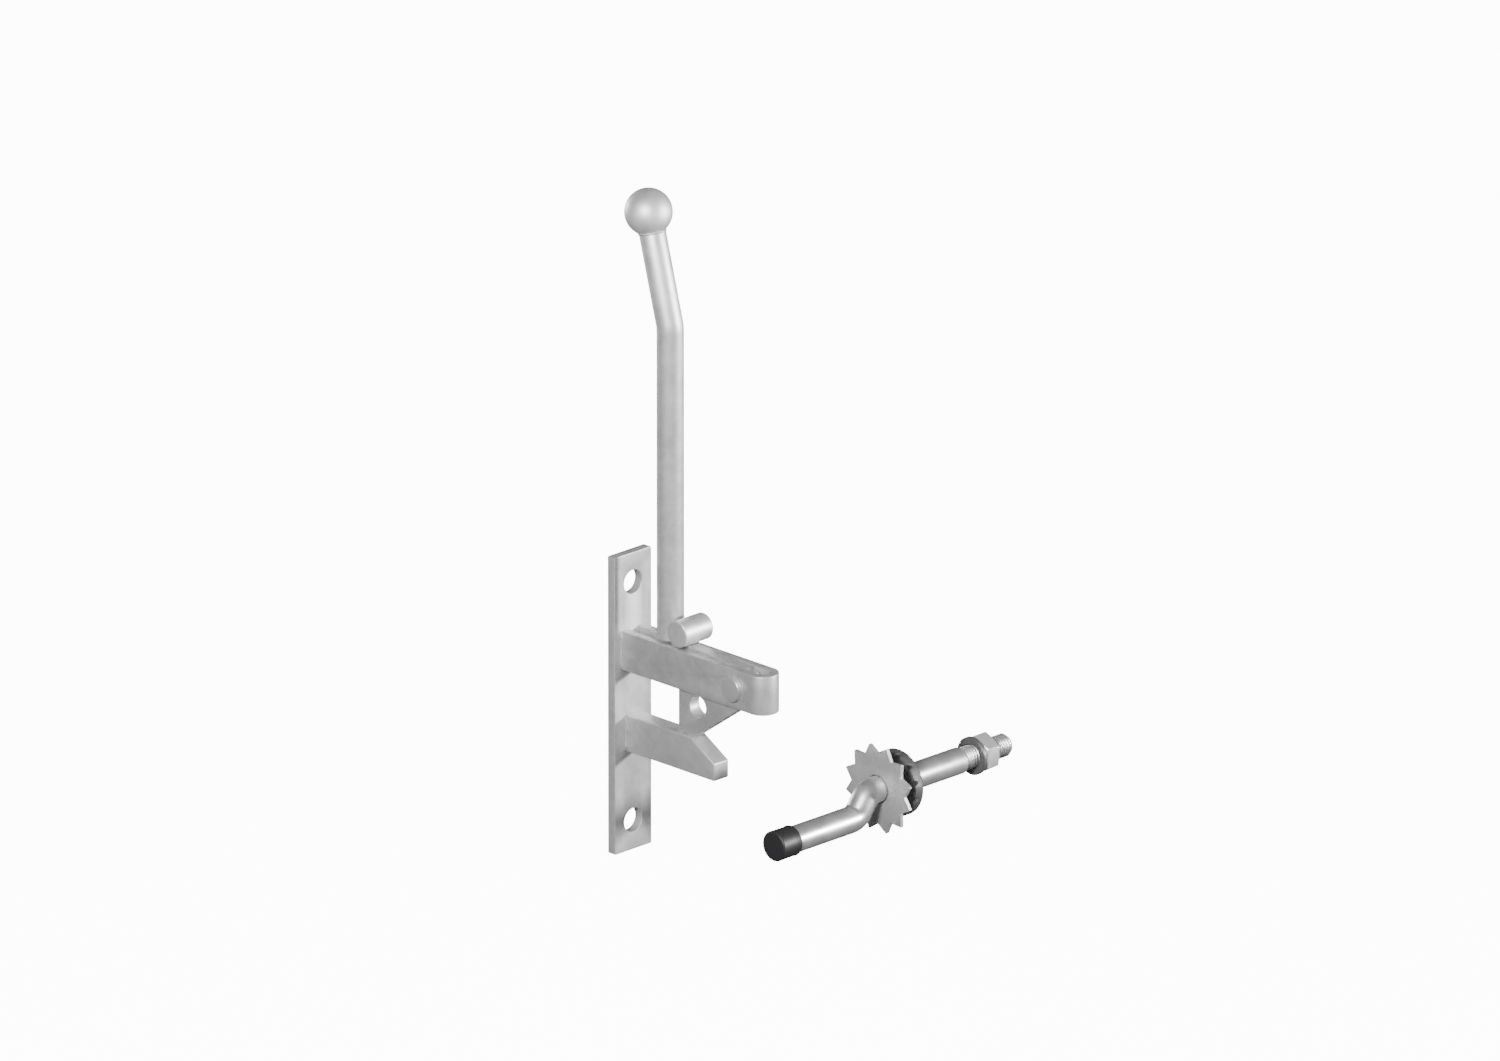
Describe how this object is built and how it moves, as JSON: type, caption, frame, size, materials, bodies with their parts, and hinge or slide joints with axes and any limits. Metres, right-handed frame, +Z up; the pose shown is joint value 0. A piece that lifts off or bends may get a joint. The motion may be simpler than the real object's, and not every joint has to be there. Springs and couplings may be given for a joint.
{
  "type": "gravity gate latch",
  "caption": "Gravity gate latch with a swinging tooth, a tall ball-ended lever and a cranked striker bolt.",
  "frame": {"origin": "centre of the back plate's rear face, the face that lies on the post", "axes": "+Z up along the back plate and the handle, +X out of the post along the two arms, +Y along the striker bolt towards the gate it is fixed in"},
  "size_m": [0.1821, 0.1915, 0.4113],
  "materials": {
    "plate_steel": "hot-dip galvanised",
    "strap_steel": "hot-dip galvanised",
    "arm_steel": "hot-dip galvanised",
    "pin_steel": "zinc plated",
    "lever_steel": "hot-dip galvanised",
    "rod_steel": "hot-dip galvanised",
    "ball_steel": "zinc plated",
    "bolt_steel": "zinc plated",
    "cap_plastic": "black moulded",
    "toothed_steel": "galvanised sheet",
    "dark_steel": "dark grey",
    "washer_steel": "blackened",
    "nut_steel": "zinc plated"
  },
  "bodies": {
    "latch_body": {"back_plate": "plate_steel", "upper_strap": "strap_steel", "lower_arm": "arm_steel", "pivot_pin": "pin_steel"},
    "lever": {"lever_plate": "lever_steel", "cross_bar": "rod_steel", "handle_rod": "rod_steel", "ball_knob": "ball_steel"},
    "gate_side": {"front_toothed_plate": "toothed_steel"},
    "rear_plate": {"rear_toothed_plate": "dark_steel"},
    "striker": {"striker_bolt": "bolt_steel", "end_cap": "cap_plastic"},
    "washer": {"lock_washer": "washer_steel"},
    "nut": {"hex_nut": "nut_steel"}
  },
  "joints": [
    {"name": "lever_pivot", "type": "hinge", "parent": "latch_body", "child": "lever", "pos_m": [0.0975, 0, 0.0337], "axis": [0, 1, 0], "range_deg": [0, 100]},
    {"name": "gate_closing", "type": "slide", "parent": "latch_body", "child": "gate_side", "axis": [-1, 0, 0], "range_m": [0, 0.128]},
    {"name": "striker_turn", "type": "hinge", "parent": "gate_side", "child": "striker", "pos_m": [0.156, 0, -0.0285], "axis": [0, 1, 0], "range_deg": [-30, 30]},
    {"name": "rear_plate_slide", "type": "slide", "parent": "gate_side", "child": "rear_plate", "axis": [0, 1, 0], "range_m": [-0.0085, 0.05]},
    {"name": "washer_slide", "type": "slide", "parent": "striker", "child": "washer", "axis": [0, 1, 0], "range_m": [-0.0005, 0.0155]},
    {"name": "nut_spin", "type": "hinge", "parent": "washer", "child": "nut", "pos_m": [0.156, 0.1303, -0.0285], "axis": [0, 1, 0], "range_deg": [0, 2700]}
  ],
  "couplings": [
    {"joint": "washer_slide", "follows": "nut_spin", "m_per_rad": 0.00031831}
  ]
}
